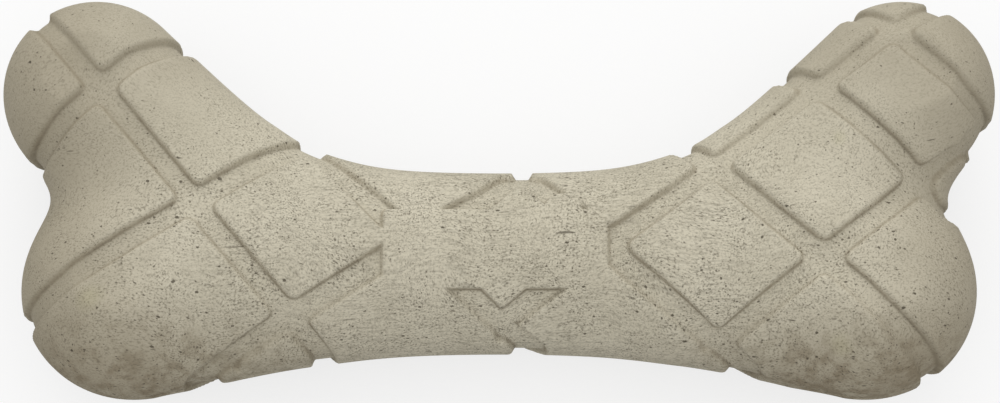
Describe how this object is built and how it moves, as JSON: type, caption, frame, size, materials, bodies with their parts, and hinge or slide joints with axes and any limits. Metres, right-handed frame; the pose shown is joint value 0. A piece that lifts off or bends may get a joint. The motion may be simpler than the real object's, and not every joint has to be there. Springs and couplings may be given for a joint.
{
  "type": "dog chew bone",
  "caption": "Bone-shaped dog chew with raised arms, rounded knuckles and a waisted grip, moulded in layers round a hard core, with a quilted diamond relief and a bare panel.",
  "frame": {"origin": "under the middle of the outline, on the plane the bone rests on", "axes": "+X along the bone, +Y towards the raised knuckles, +Z through the thickness, from the back to the front"},
  "size_m": [0.1898, 0.0764, 0.0364],
  "materials": {
    "core": "matt, hard moulded",
    "mantle": "matt, fibre filled",
    "cover": "matt, flecked with plant fibre"
  },
  "bodies": {
    "root": {"core": "core", "mantle_front": "mantle", "mantle_back": "mantle", "cover_front": "cover", "cover_back": "cover"}
  },
  "joints": []
}
